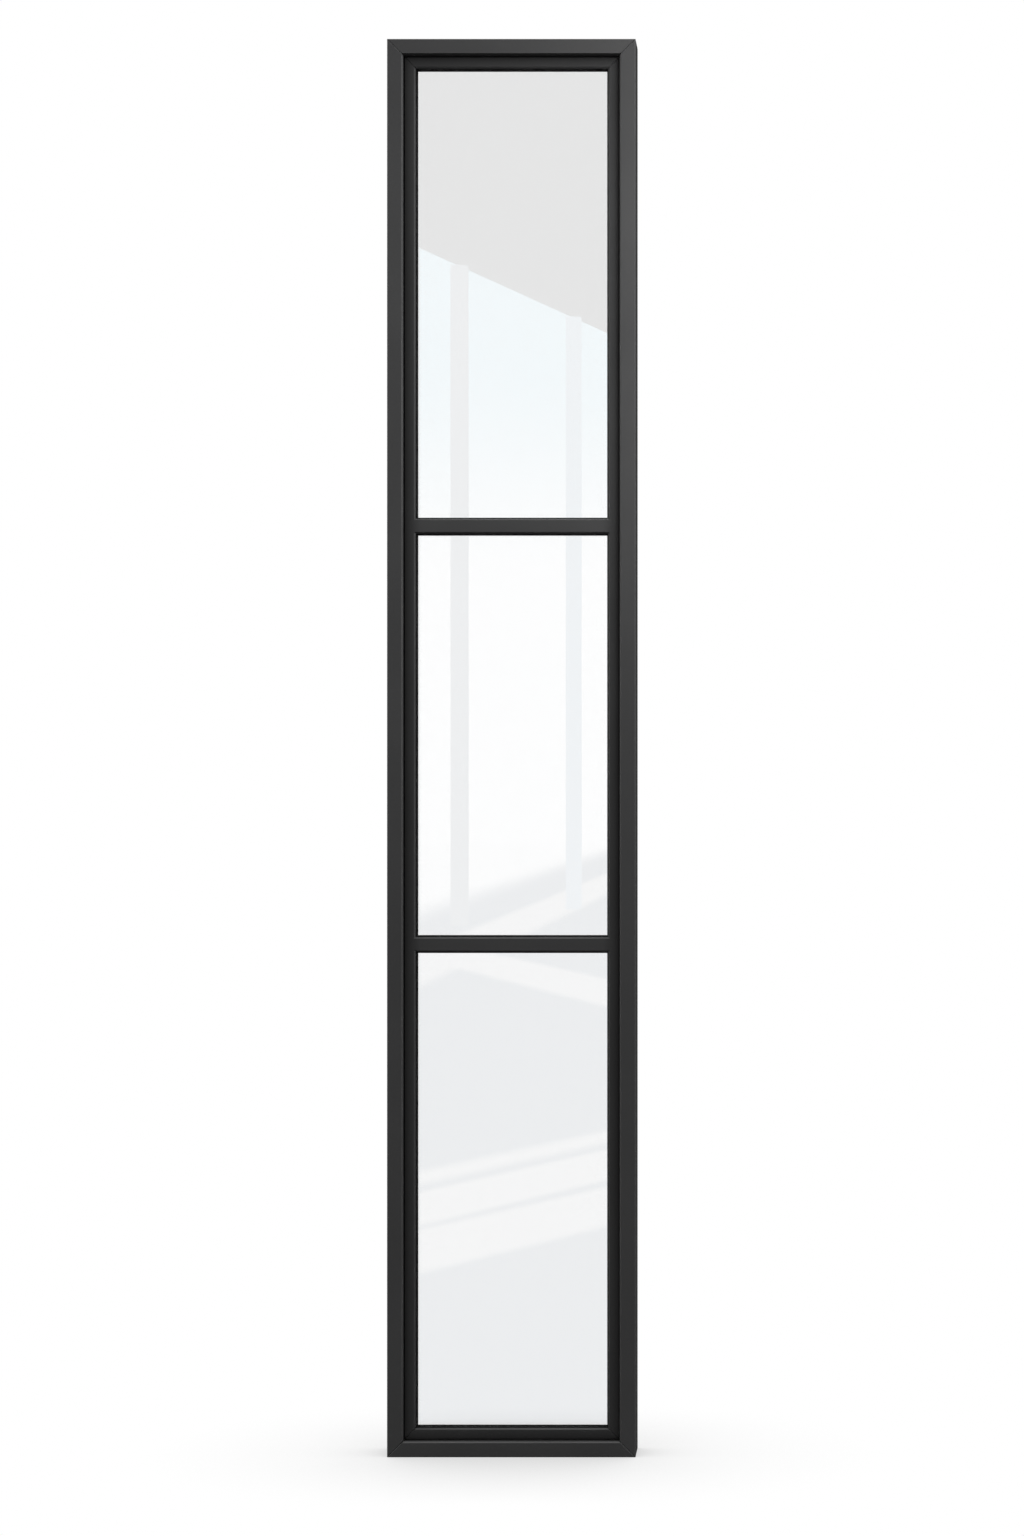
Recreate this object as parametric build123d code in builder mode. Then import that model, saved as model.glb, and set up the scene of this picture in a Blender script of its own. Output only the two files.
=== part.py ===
from build123d import *

import os
from dataclasses import dataclass

# A fixed door sidelight: a slim hollow frame round a set-back sash, two T-shaped glazing bars
# and three sealed glass units held by beads from the inside.
# Millimetres. X runs across, Y from the outside to the inside, Z up.
# The origin is on the floor, under the middle of the frame.

# Overall size
width = 356.0
height = 2032.0
depth = 70.0

# Clear glass heights: the upper pane takes what the other two and the bars leave
lower_pane_height = 683.0
middle_pane_height = 579.0

# Outer frame: a hollow extrusion, mitred at the corners
frame_face = 23.0
frame_wall = 2.0
frame_outer_bevel = 1.0
frame_inner_bevel = 2.5

# Sash: a hollow lip in front of the glass, and a floor that runs back under the edge of the glass
sash_face = 17.0
sash_setback = 11.0
sash_floor = 3.0
lip_depth = 13.0
lip_wall = 2.0
lip_bevel = 2.5
shadow_groove_width = 1.5
shadow_groove_depth = 5.0

# Glazing bars: a hollow cap flush with the sash, and a flat web between the glass units
bar_face = 22.0
bar_web = 4.0

# Sealed glass units
glass_thickness = 4.0
cavity_depth = 8.0
seal_width = 7.0
seal_inset = 0.5
sash_glass_gap = 3.0
bar_glass_gap = 2.0

# Gaskets: a flat strip with a foot that is pressed into a race in the lip or the bead
gasket_thickness = 3.0
gasket_show = 1.5
gasket_bevel = 1.0
gasket_web_gap = 2.0
race_width = 3.0
race_depth = 2.5
foot_gap = 0.1

# Glazing beads: hollow, mitred at the corners, narrower than the lip so that it hides them from outside
bead_width = 8.0
bead_depth = 13.0
bead_wall = 1.5
bead_bevel = 2.5

# Setting blocks under each glass unit
block_length = 60.0

# Fixing holes through the jambs, under the edge of the glass
fixing_diameter = 6.5
fixing_end_distance = 179.0
fixing_count = 4

# Small bevel along the edges of each mitre cut
mitre_bevel = 0.3

# Depths behind the face of the frame, from the outside to the inside
lip_back = sash_setback + lip_depth
glass_front = lip_back + gasket_thickness
unit_depth = 2 * glass_thickness + cavity_depth
glass_back = glass_front + unit_depth
bead_front = glass_back + gasket_thickness
sash_back = bead_front + bead_depth
fixing_depth = glass_front + unit_depth / 2
front = -depth / 2


@dataclass
class Rect:
    """An upright rectangle, seen from the front."""

    left: float
    bottom: float
    right: float
    top: float

    def grown(self, left, bottom, right, top):
        """The rectangle with each side moved out by its own amount."""
        return Rect(self.left - left, self.bottom - bottom, self.right + right, self.top + top)

    def grown_evenly(self, amount):
        """The rectangle with every side moved out by one amount."""
        return self.grown(amount, amount, amount, amount)


@dataclass
class Rebate:
    """The room behind a lip: its width, and the gap that the glass leaves at the bottom of it."""

    width: float
    glass_gap: float

    def cover(self):
        """How far the glass reaches in behind the lip."""
        return self.width - self.glass_gap


@dataclass
class Bay:
    """One glazed opening: its clear rectangle and the rebates below and above it."""

    name: str
    clear: Rect
    below: Rebate
    above: Rebate

    def glass(self):
        """Outline of the glass unit."""
        side = sash_rebate.cover()
        return self.clear.grown(side, self.below.cover(), side, self.above.cover())

    def bead(self):
        """Outline that the beads are fitted into."""
        side = sash_rebate.width
        return self.clear.grown(side, self.below.width, side, self.above.width)

    def bead_clear(self):
        """Opening that the beads leave."""
        return self.bead().grown_evenly(-bead_width)


sash_rebate = Rebate(sash_face - sash_floor, sash_glass_gap)
bar_rebate = Rebate((bar_face - bar_web) / 2, bar_glass_gap)
gasket_cover = bar_rebate.width - gasket_web_gap
race_inset = (gasket_cover - race_width) / 2

frame_outline = Rect(-width / 2, 0.0, width / 2, height)
sash_outline = frame_outline.grown_evenly(-frame_face)
sash_clear = sash_outline.grown_evenly(-sash_face)
lower_bar_bottom = sash_clear.bottom + lower_pane_height
lower_bar_top = lower_bar_bottom + bar_face
upper_bar_bottom = lower_bar_top + middle_pane_height
upper_bar_top = upper_bar_bottom + bar_face

bays = [
    Bay("lower", Rect(sash_clear.left, sash_clear.bottom, sash_clear.right, lower_bar_bottom),
        sash_rebate, bar_rebate),
    Bay("middle", Rect(sash_clear.left, lower_bar_top, sash_clear.right, upper_bar_bottom),
        bar_rebate, bar_rebate),
    Bay("upper", Rect(sash_clear.left, upper_bar_top, sash_clear.right, sash_clear.top),
        bar_rebate, sash_rebate),
]

# The sides of a rectangle in order, each with the side that it starts from and the side that it runs to
side_ends = {
    "left": ("bottom", "top"),
    "top": ("left", "right"),
    "right": ("top", "bottom"),
    "bottom": ("right", "left"),
}


def save(piece, name):
    """Label a finished piece and write it to its own file."""
    piece.label = name
    export_step(piece, f"parts/{name}.step")


def upright_plane(behind_face):
    """Plane that faces the front, a given depth behind the face of the frame: X across, Z up."""
    return Plane.XZ.offset(-(front + behind_face))


def draw_rect(rect, mode=Mode.ADD):
    """Draw a rectangle in the sketch that is open."""
    middle = ((rect.left + rect.right) / 2, (rect.bottom + rect.top) / 2)
    with Locations(middle):
        Rectangle(rect.right - rect.left, rect.top - rect.bottom, mode=mode)


def draw_box(x0, y0, x1, y1, mode=Mode.ADD):
    """Draw a rectangle in the sketch that is open, from two of its corners."""
    draw_rect(Rect(x0, y0, x1, y1), mode)


def side_plane(rect, side):
    """Plane across the start of a rectangle's side: x inwards, y to the back, z along the side."""
    places = {
        "left": ((rect.left, front, rect.bottom), (1, 0, 0), (0, 0, 1)),
        "top": ((rect.left, front, rect.top), (0, 0, -1), (1, 0, 0)),
        "right": ((rect.right, front, rect.top), (-1, 0, 0), (0, 0, -1)),
        "bottom": ((rect.right, front, rect.bottom), (0, 0, 1), (-1, 0, 0)),
    }
    origin, inwards, along = places[side]
    return Plane(origin=origin, x_dir=inwards, z_dir=along)


def mitred_side(rect, side, section, widths):
    """One side of a rectangle, extruded from its section and cut to a mitre at both ends."""
    across = side_plane(rect, side)
    upright = side in ("left", "right")
    length = rect.top - rect.bottom if upright else rect.right - rect.left
    start, end = side_ends[side]
    start_cut = Plane(
        origin=across.origin,
        z_dir=across.z_dir * widths[side] - across.x_dir * widths[start],
    )
    end_cut = Plane(
        origin=across.origin + across.z_dir * length,
        z_dir=across.z_dir * widths[side] + across.x_dir * widths[end],
    )
    with BuildPart() as member:
        with BuildSketch(across):
            add(section)
        extrude(amount=length)
        split(bisect_by=start_cut, keep=Keep.TOP)
        split(bisect_by=end_cut, keep=Keep.BOTTOM)
        ends = member.faces().sort_by(Axis(across.origin, across.z_dir))
        chamfer(ends[0].outer_wire().edges() + ends[-1].outer_wire().edges(), mitre_bevel)
    return member.part


def even_widths(amount):
    """The same width for all four sides of a rectangle."""
    return {side: amount for side in side_ends}


def frame_section():
    """Hollow box with a small bevel outside and a wider one towards the sash."""
    with BuildSketch() as section:
        draw_box(0, 0, frame_face, depth)
        outer = section.vertices().group_by(Axis.X)[0]
        inner = section.vertices().group_by(Axis.X)[-1]
        chamfer(outer, frame_outer_bevel)
        chamfer(inner, frame_inner_bevel)
        offset(amount=-frame_wall, kind=Kind.INTERSECTION, mode=Mode.SUBTRACT)
    return section.sketch


def sash_section():
    """Lip with a shadow groove, a hollow core and a gasket race, on the floor under the glass."""
    with BuildSketch() as core:
        draw_box(shadow_groove_width, sash_setback, sash_face, lip_back - race_depth)
        chamfer(core.vertices().group_by(Axis.Y)[0].sort_by(Axis.X)[-1], lip_bevel)
        offset(amount=-lip_wall, kind=Kind.INTERSECTION, mode=Mode.REPLACE)
    with BuildSketch() as section:
        draw_box(0, sash_setback, sash_face, lip_back)
        chamfer(section.vertices().group_by(Axis.Y)[0].sort_by(Axis.X)[-1], lip_bevel)
        draw_box(0, lip_back, sash_floor, sash_back)
        groove_bottom = sash_setback + shadow_groove_depth
        draw_box(0, sash_setback, shadow_groove_width, groove_bottom, Mode.SUBTRACT)
        race_edge = sash_face - race_inset
        draw_box(race_edge - race_width, lip_back - race_depth, race_edge, lip_back, Mode.SUBTRACT)
        add(core.sketch, mode=Mode.SUBTRACT)
    return section.sketch


def bead_section():
    """Hollow bead with a gasket race towards the glass and a bevel towards the room."""
    with BuildSketch() as core:
        draw_box(0, bead_front + race_depth, bead_width, sash_back)
        chamfer(core.vertices().group_by(Axis.Y)[-1].sort_by(Axis.X)[-1], bead_bevel)
        offset(amount=-bead_wall, kind=Kind.INTERSECTION, mode=Mode.REPLACE)
    with BuildSketch() as section:
        draw_box(0, bead_front, bead_width, sash_back)
        chamfer(section.vertices().group_by(Axis.Y)[-1].sort_by(Axis.X)[-1], bead_bevel)
        race_edge = bead_width - race_inset
        race_bottom = bead_front + race_depth
        draw_box(race_edge - race_width, bead_front, race_edge, race_bottom, Mode.SUBTRACT)
        add(core.sketch, mode=Mode.SUBTRACT)
    return section.sketch


def bar_cap_section():
    """Hollow cap of a bar, bevelled like the lip, with a gasket race on each side of the web."""
    half = bar_face / 2
    with BuildSketch() as core:
        draw_box(-half, sash_setback, half, lip_back - race_depth)
        chamfer(core.vertices().group_by(Axis.Y)[0], lip_bevel)
        offset(amount=-lip_wall, kind=Kind.INTERSECTION, mode=Mode.REPLACE)
    with BuildSketch() as section:
        draw_box(-half, sash_setback, half, lip_back)
        chamfer(section.vertices().group_by(Axis.Y)[0], lip_bevel)
        race_edge = half - race_inset
        race_top = lip_back - race_depth
        draw_box(race_edge - race_width, race_top, race_edge, lip_back, Mode.SUBTRACT)
        draw_box(-race_edge, race_top, race_width - race_edge, lip_back, Mode.SUBTRACT)
        add(core.sketch, mode=Mode.SUBTRACT)
    return section.sketch


def bar_plan():
    """Outline of a bar's cap from above: flush with the lips, and coped over their bevels."""
    face = front + sash_setback
    end = sash_clear.right
    with BuildSketch() as plan:
        with BuildLine():
            Polyline(
                (-end - lip_bevel, face),
                (end + lip_bevel, face),
                (end, face + lip_bevel),
                (end, front + lip_back),
                (-end, front + lip_back),
                (-end, face + lip_bevel),
                close=True,
            )
        make_face()
    return plan.sketch


def glazing_bar(bottom):
    """A bar from stile to stile: its cap ends on their lips, and its web on their floors."""
    middle = bottom + bar_face / 2
    web_end = sash_clear.right + sash_rebate.width
    across = Plane(origin=(-web_end, front, middle), x_dir=(0, 0, -1), z_dir=(1, 0, 0))
    with BuildPart() as bar:
        with BuildSketch(across):
            add(bar_cap_section())
        extrude(amount=2 * web_end)
        with BuildSketch(Plane.XY.offset(bottom)):
            add(bar_plan())
        extrude(amount=bar_face, mode=Mode.INTERSECT)
        with BuildSketch(across):
            draw_box(-bar_web / 2, lip_back, bar_web / 2, sash_back)
        extrude(amount=2 * web_end)
    return bar.part


def glass_pane(bay, behind_face):
    """One sheet of a glass unit."""
    with BuildPart() as pane:
        with BuildSketch(upright_plane(behind_face)):
            draw_rect(bay.glass())
        extrude(amount=-glass_thickness)
    return pane.part


def glass_spacer(bay):
    """The sealed strip round the edge of a glass unit, between its two sheets."""
    outline = bay.glass().grown_evenly(-seal_inset)
    with BuildPart() as spacer:
        with BuildSketch(upright_plane(glass_front + glass_thickness)):
            draw_rect(outline)
            draw_rect(outline.grown_evenly(-seal_width), Mode.SUBTRACT)
        extrude(amount=-cavity_depth)
    return spacer.part


def gasket(clear, seat, to_front):
    """A ring of gasket round an opening, with to_front as 1 where its feet point to the front, or -1."""
    near = race_inset + foot_gap
    far = race_inset + race_width - foot_gap
    feet = [
        Rect(clear.left - far, clear.bottom, clear.left - near, clear.top),
        Rect(clear.right + near, clear.bottom, clear.right + far, clear.top),
        Rect(clear.left, clear.bottom - far, clear.right, clear.bottom - near),
        Rect(clear.left, clear.top + near, clear.right, clear.top + far),
    ]
    with BuildPart() as ring:
        with BuildSketch(upright_plane(seat)):
            draw_rect(clear.grown_evenly(gasket_cover))
            draw_rect(clear.grown_evenly(-gasket_show), Mode.SUBTRACT)
        extrude(amount=-to_front * gasket_thickness)
        seat_face = ring.faces().sort_by(Axis.Y)[0 if to_front > 0 else -1]
        chamfer(seat_face.inner_wires().edges(), gasket_bevel)
        with BuildSketch(upright_plane(seat)):
            for foot in feet:
                draw_rect(foot)
        extrude(amount=to_front * (race_depth - foot_gap))
    return ring.part


def setting_block(bay, middle):
    """A block that carries the glass unit on the rebate below it."""
    glass = bay.glass()
    top = glass.bottom
    bottom = top - bay.below.glass_gap
    with BuildPart() as block:
        with BuildSketch(upright_plane(glass_front)):
            draw_box(middle - block_length / 2, bottom, middle + block_length / 2, top)
        extrude(amount=-unit_depth)
    return block.part


def drilled(member, outer_x):
    """A jamb or stile with the row of fixing holes through it, square to the side of the frame."""
    inwards = -1 if outer_x > 0 else 1
    spacing = (height - 2 * fixing_end_distance) / (fixing_count - 1)
    side_face = Plane(
        origin=(outer_x, front + fixing_depth, height / 2),
        x_dir=(0, 1, 0),
        z_dir=(inwards, 0, 0),
    )
    with BuildPart() as piece:
        add(member)
        with BuildSketch(side_face):
            with GridLocations(0, spacing, 1, fixing_count):
                Circle(fixing_diameter / 2)
        extrude(amount=frame_face + sash_floor, mode=Mode.SUBTRACT)
    return piece.part


os.makedirs("parts", exist_ok=True)

# Outer frame
frame_names = {
    "left": "frame_left_jamb",
    "top": "frame_head",
    "right": "frame_right_jamb",
    "bottom": "frame_sill",
}
frame_profile = frame_section()
for side, name in frame_names.items():
    member = mitred_side(frame_outline, side, frame_profile, even_widths(frame_face))
    if side in ("left", "right"):
        member = drilled(member, getattr(frame_outline, side))
    save(member, name)

# Sash
sash_names = {
    "left": "sash_left_stile",
    "top": "sash_top_rail",
    "right": "sash_right_stile",
    "bottom": "sash_bottom_rail",
}
sash_profile = sash_section()
for side, name in sash_names.items():
    member = mitred_side(sash_outline, side, sash_profile, even_widths(sash_face))
    if side in ("left", "right"):
        member = drilled(member, getattr(frame_outline, side))
    save(member, name)

# Glazing bars
save(glazing_bar(lower_bar_bottom), "lower_bar")
save(glazing_bar(upper_bar_bottom), "upper_bar")

# Glass units with their gaskets, setting blocks and beads
bead_profile = bead_section()
for bay in bays:
    save(glass_pane(bay, glass_front), f"outer_glass_{bay.name}")
    save(glass_pane(bay, glass_back - glass_thickness), f"inner_glass_{bay.name}")
    save(glass_spacer(bay), f"glass_spacer_{bay.name}")
    save(gasket(bay.clear, lip_back, 1), f"outer_gasket_{bay.name}")
    save(gasket(bay.bead_clear(), bead_front, -1), f"inner_gasket_{bay.name}")
    quarter = (bay.clear.right - bay.clear.left) / 4
    save(setting_block(bay, -quarter), f"setting_block_{bay.name}_left")
    save(setting_block(bay, quarter), f"setting_block_{bay.name}_right")
    for side in side_ends:
        bead = mitred_side(bay.bead(), side, bead_profile, even_widths(bead_width))
        save(bead, f"bead_{bay.name}_{side}")
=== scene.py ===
import logging
import math
from dataclasses import dataclass, field
from enum import Enum

import bmesh
import bpy
from mathutils import Matrix, Vector


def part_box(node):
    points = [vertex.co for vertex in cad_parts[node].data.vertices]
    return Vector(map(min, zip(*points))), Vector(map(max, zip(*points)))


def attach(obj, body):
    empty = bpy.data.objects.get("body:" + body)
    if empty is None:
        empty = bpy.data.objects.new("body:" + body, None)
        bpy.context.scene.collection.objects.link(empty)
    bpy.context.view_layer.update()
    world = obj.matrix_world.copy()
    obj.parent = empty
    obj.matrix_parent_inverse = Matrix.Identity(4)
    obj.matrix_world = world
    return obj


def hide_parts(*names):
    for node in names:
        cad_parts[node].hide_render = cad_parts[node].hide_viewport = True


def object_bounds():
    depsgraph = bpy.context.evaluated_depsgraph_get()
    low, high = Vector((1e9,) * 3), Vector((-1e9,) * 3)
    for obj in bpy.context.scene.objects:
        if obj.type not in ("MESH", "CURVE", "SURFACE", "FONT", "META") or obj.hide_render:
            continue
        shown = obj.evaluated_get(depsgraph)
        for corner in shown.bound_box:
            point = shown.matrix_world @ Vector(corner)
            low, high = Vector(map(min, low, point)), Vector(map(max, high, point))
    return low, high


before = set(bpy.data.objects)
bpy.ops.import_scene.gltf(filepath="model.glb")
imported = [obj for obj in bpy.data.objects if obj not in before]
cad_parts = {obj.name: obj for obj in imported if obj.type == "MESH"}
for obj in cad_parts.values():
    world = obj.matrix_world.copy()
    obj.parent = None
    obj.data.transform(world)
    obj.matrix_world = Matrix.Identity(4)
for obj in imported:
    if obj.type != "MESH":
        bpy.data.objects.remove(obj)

# Looks of a fixed door sidelight: powder coated frame, sash, bars and beads, sealed glass units
# and gaskets. Metres, in the frame of the solids: X across, Y from outside to inside, Z up.

LOG = logging.getLogger("sidelight")
CAD_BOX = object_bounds()
BODY = "root"

# The photograph's frame in pixels, and the size of a pixel on the face of the frame
PHOTO_WIDTH = 1024
PHOTO_HEIGHT = 1536
METRES_PER_PIXEL = 0.0014324
FRAME_MIDDLE_PIXEL = 511.25
FLOOR_PIXEL = 1457.4

# How far the sash and the beads lie behind the faces of the frame
SASH_SETBACK = 0.011

Colour = tuple[float, float, float]
Point = tuple[float, float, float]
Range = tuple[float, float]

# Kinds of the node groups' sockets
VALUE = "NodeSocketFloat"
VECTOR = "NodeSocketVector"
COLOUR = "NodeSocketColor"

# Peel and drift: the finer layer's share, and features in a metre
GRAIN_SHARE = 0.35
CLOUD_SCALE = 7.0
SPECK_SCALE = 1400.0
CLOUD_SHARE = 0.6

# Dust: how far a face has to look up, and the patches that it lies in
LEDGE: Range = (0.35, 0.95)
DUST_SCALE = 55.0
DUST_PATCHES: Range = (0.35, 0.75)
DUST_THIN = 0.25

# Recess, painted shade: widths of the masks' edges, and how far a face has to look down to be an
# underside
STEP_EASE = 0.0004
REVEAL: Range = (0.0014, 0.0028)
OUTER_EDGE: Range = (0.0002, 0.0010)
UNDERSIDE: Range = (-0.6, -0.3)
SEAM: Range = (0.0002, 0.0007)
ARRIS = 0.0012


class Side(Enum):
    """The side of the frame that a ring faces, with the way from the middle of the depth to it."""

    OUTSIDE = -1.0
    INSIDE = 1.0


class Ease(Enum):
    """How a value goes through its range, with Blender's name for it."""

    SMOOTH = "SMOOTHSTEP"
    EVEN = "LINEAR"


class NodeSheet:
    """A node tree, with short ways to add and join its nodes."""

    def __init__(self, tree: bpy.types.NodeTree) -> None:
        """Keep the tree that the nodes go into.

        Args:
            tree: The tree of a material, world or node group.
        """
        self.tree = tree

    def feed(self, node: bpy.types.Node, inputs: dict) -> None:
        """Set or join inputs of a node.

        Args:
            node: The node.
            inputs: Values and sockets by the name or number of the input that they go to.
        """
        for name, value in inputs.items():
            if isinstance(value, bpy.types.NodeSocket):
                self.tree.links.new(value, node.inputs[name])
            else:
                node.inputs[name].default_value = value

    def add(self, kind: str, inputs: dict | None = None, **settings) -> bpy.types.Node:
        """Add a node.

        Args:
            kind: Blender's name of the node's type.
            inputs: Values and sockets by the name or number of the input that they go to.
            settings: Attributes of the node.

        Returns:
            The new node.
        """
        node = self.tree.nodes.new(kind)
        for name, value in settings.items():
            setattr(node, name, value)
        self.feed(node, inputs or {})
        return node

    def math(self, operation: str, first, second=0.0) -> bpy.types.NodeSocket:
        """Add a Math node.

        Args:
            operation: The operation's name in Blender.
            first: The first value or socket.
            second: The second value or socket.

        Returns:
            The socket with the result.
        """
        return self.add("ShaderNodeMath", {0: first, 1: second}, operation=operation).outputs[0]

    def spread(
        self,
        value: bpy.types.NodeSocket,
        low: float,
        high: float,
        to_low: float,
        to_high: float,
        ease: Ease = Ease.SMOOTH,
    ) -> bpy.types.NodeSocket:
        """Map a value from one range to another, clamped.

        Args:
            value: The socket to map.
            low: Start of its range.
            high: End of its range.
            to_low: Result at the start.
            to_high: Result at the end.
            ease: The way between the two.

        Returns:
            The socket with the result.
        """
        inputs = {0: value, 1: low, 2: high, 3: to_low, 4: to_high}
        return self.add("ShaderNodeMapRange", inputs, interpolation_type=ease.value).outputs[0]

    def mix(self, factor, first, second, blend: str = "MIX") -> bpy.types.NodeSocket:
        """Mix two colours.

        Args:
            factor: Share of the second colour.
            first: The first colour or socket.
            second: The second colour or socket.
            blend: The blend's name in Blender.

        Returns:
            The socket with the mixed colour.
        """
        inputs = {0: factor, 6: first, 7: second}
        return self.add("ShaderNodeMix", inputs, data_type="RGBA", blend_type=blend).outputs[2]

    def noise(self, vector, scale, detail: float = 2.0) -> bpy.types.NodeSocket:
        """Add a noise texture.

        Args:
            vector: The coordinates' socket.
            scale: Features in a metre, as a value or a socket.
            detail: Finer layers.

        Returns:
            The socket with the noise's value.
        """
        inputs = {"Vector": vector, "Scale": scale, "Detail": detail}
        return self.add("ShaderNodeTexNoise", inputs).outputs["Fac"]

    def bump(self, strength: float, depth: float, height, base=None) -> bpy.types.NodeSocket:
        """Add a Bump node.

        Args:
            strength: Its strength.
            depth: Depth of its relief.
            height: The socket with the height.
            base: The socket with the normal that it starts from, if not the surface's own.

        Returns:
            The socket with the normal.
        """
        inputs = {"Strength": strength, "Distance": depth, "Height": height}
        if base is not None:
            inputs["Normal"] = base
        return self.add("ShaderNodeBump", inputs).outputs[0]

    def blend(self, factor, first: bpy.types.Node, second: bpy.types.Node) -> bpy.types.Node:
        """Mix two shaders.

        Args:
            factor: Share of the second shader.
            first: The first shader's node.
            second: The second shader's node.

        Returns:
            The node that mixes them.
        """
        inputs = {0: factor, 1: first.outputs[0], 2: second.outputs[0]}
        return self.add("ShaderNodeMixShader", inputs)

    def group(self, tree: bpy.types.NodeTree, inputs: dict) -> bpy.types.Node:
        """Place a node group, with values and sockets by the name of its input."""
        return self.add("ShaderNodeGroup", inputs, node_tree=tree)


@dataclass
class Effect:
    """A shader effect that several finishes share, made once as a node group."""

    name: str
    inputs: dict[str, str]
    outputs: dict[str, str]
    tree: bpy.types.NodeTree | None = field(default=None, repr=False)

    def start(self) -> tuple[NodeSheet, bpy.types.Node, bpy.types.Node]:
        """Make the empty group.

        Returns:
            The group's sheet and its input and output nodes.
        """
        self.tree = bpy.data.node_groups.new(self.name, "ShaderNodeTree")
        for name, kind in self.inputs.items():
            self.tree.interface.new_socket(name, in_out="INPUT", socket_type=kind)
        for name, kind in self.outputs.items():
            self.tree.interface.new_socket(name, in_out="OUTPUT", socket_type=kind)
        sheet = NodeSheet(self.tree)
        return sheet, sheet.add("NodeGroupInput"), sheet.add("NodeGroupOutput")


def make_peel() -> bpy.types.NodeTree:
    """Height of a powder coat: a soft orange peel with a finer grain on it.

    Returns:
        The group's tree.
    """
    effect = Effect(
        "peel",
        {"Vector": VECTOR, "Peel Scale": VALUE, "Grain Scale": VALUE},
        {"Height": VALUE},
    )
    sheet, given, result = effect.start()
    peel = sheet.noise(given.outputs["Vector"], given.outputs["Peel Scale"], 1.0)
    grain = sheet.noise(given.outputs["Vector"], given.outputs["Grain Scale"], 2.0)
    height = sheet.math("ADD", peel, sheet.math("MULTIPLY", grain, GRAIN_SHARE))
    sheet.feed(result, {"Height": height})
    return effect.tree


def make_drift() -> bpy.types.NodeTree:
    """Slow and fine changes of tone over a painted or moulded surface.

    Returns:
        The group's tree.
    """
    effect = Effect(
        "drift",
        {"Vector": VECTOR, "Colour": COLOUR, "Amount": VALUE},
        {"Colour": COLOUR, "Patch": VALUE},
    )
    sheet, given, result = effect.start()
    cloud = sheet.noise(given.outputs["Vector"], CLOUD_SCALE, 3.0)
    speck = sheet.noise(given.outputs["Vector"], SPECK_SCALE, 2.0)
    slow = sheet.math("MULTIPLY", cloud, CLOUD_SHARE)
    fine = sheet.math("MULTIPLY", speck, 1.0 - CLOUD_SHARE)
    both = sheet.math("SUBTRACT", sheet.math("ADD", slow, fine), 0.5)
    factor = sheet.math("ADD", sheet.math("MULTIPLY", both, given.outputs["Amount"]), 1.0)
    grey = sheet.add("ShaderNodeCombineColor", {0: factor, 1: factor, 2: factor})
    toned = sheet.mix(1.0, given.outputs["Colour"], grey.outputs[0], "MULTIPLY")
    sheet.feed(result, {"Colour": toned, "Patch": cloud})
    return effect.tree


def make_dust() -> bpy.types.NodeTree:
    """Mask of the thin dust that settles on faces that look up.

    Returns:
        The group's tree.
    """
    effect = Effect("dust", {"Vector": VECTOR, "Amount": VALUE}, {"Mask": VALUE})
    sheet, given, result = effect.start()
    normal = sheet.add("ShaderNodeNewGeometry").outputs["True Normal"]
    up = sheet.add("ShaderNodeSeparateXYZ", {0: normal}).outputs["Z"]
    ledge = sheet.spread(up, *LEDGE, 0.0, 1.0)
    cloud = sheet.noise(given.outputs["Vector"], DUST_SCALE, 4.0)
    patches = sheet.spread(cloud, *DUST_PATCHES, DUST_THIN, 1.0)
    settled = sheet.math("MULTIPLY", ledge, patches)
    sheet.feed(result, {"Mask": sheet.math("MULTIPLY", settled, given.outputs["Amount"])})
    return effect.tree


def make_recess() -> bpy.types.NodeTree:
    """Masks of the painted shade in the steps of the profiles, in the reveals, on the outer sides and
    on undersides, of the dark seams along the mitres, and the mitres' relief.

    Returns:
        The group's tree.
    """
    masks = ("Beside", "Down", "Under", "Outer", "Seam", "Arris")
    effect = Effect(
        "recess",
        {"Vector": VECTOR, "Step Place": VALUE, "Step Reach": VALUE, "Face Depth": VALUE},
        dict.fromkeys(masks, VALUE),
    )
    sheet, given, result = effect.start()
    high = CAD_BOX[1]
    parts = sheet.add("ShaderNodeSeparateXYZ", {0: given.outputs["Vector"]}).outputs
    from_side = sheet.math("SUBTRACT", high.x, sheet.math("ABSOLUTE", parts["X"]))
    from_top = sheet.math("SUBTRACT", high.z, parts["Z"])
    from_end = sheet.math("MINIMUM", from_top, parts["Z"])
    inward = sheet.math("MINIMUM", from_side, from_end)
    past = sheet.math("SUBTRACT", inward, given.outputs["Step Place"])
    share = sheet.math("DIVIDE", past, given.outputs["Step Reach"])
    begun = sheet.spread(past, -STEP_EASE, 0.0, 0.0, 1.0)
    fading = sheet.spread(share, 0.0, 1.0, 1.0, 0.0, Ease.EVEN)
    beside = sheet.math("MULTIPLY", begun, fading)
    depth = sheet.math("SUBTRACT", high.y, sheet.math("ABSOLUTE", parts["Y"]))
    below = sheet.math("SUBTRACT", depth, given.outputs["Face Depth"])
    down = sheet.spread(below, *REVEAL, 0.0, 1.0)
    normal = sheet.add("ShaderNodeNewGeometry").outputs["True Normal"]
    upward = sheet.add("ShaderNodeSeparateXYZ", {0: normal}).outputs["Z"]
    under = sheet.spread(upward, *UNDERSIDE, 1.0, 0.0)
    outer = sheet.spread(inward, *OUTER_EDGE, 1.0, 0.0)
    aside = sheet.math("ABSOLUTE", sheet.math("SUBTRACT", from_side, from_end))
    seam = sheet.spread(aside, *SEAM, 1.0, 0.0)
    arris = sheet.spread(aside, 0.0, ARRIS, 0.0, 1.0, Ease.EVEN)
    sheet.feed(result, dict(zip(masks, (beside, down, under, outer, seam, arris))))
    return effect.tree


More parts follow.
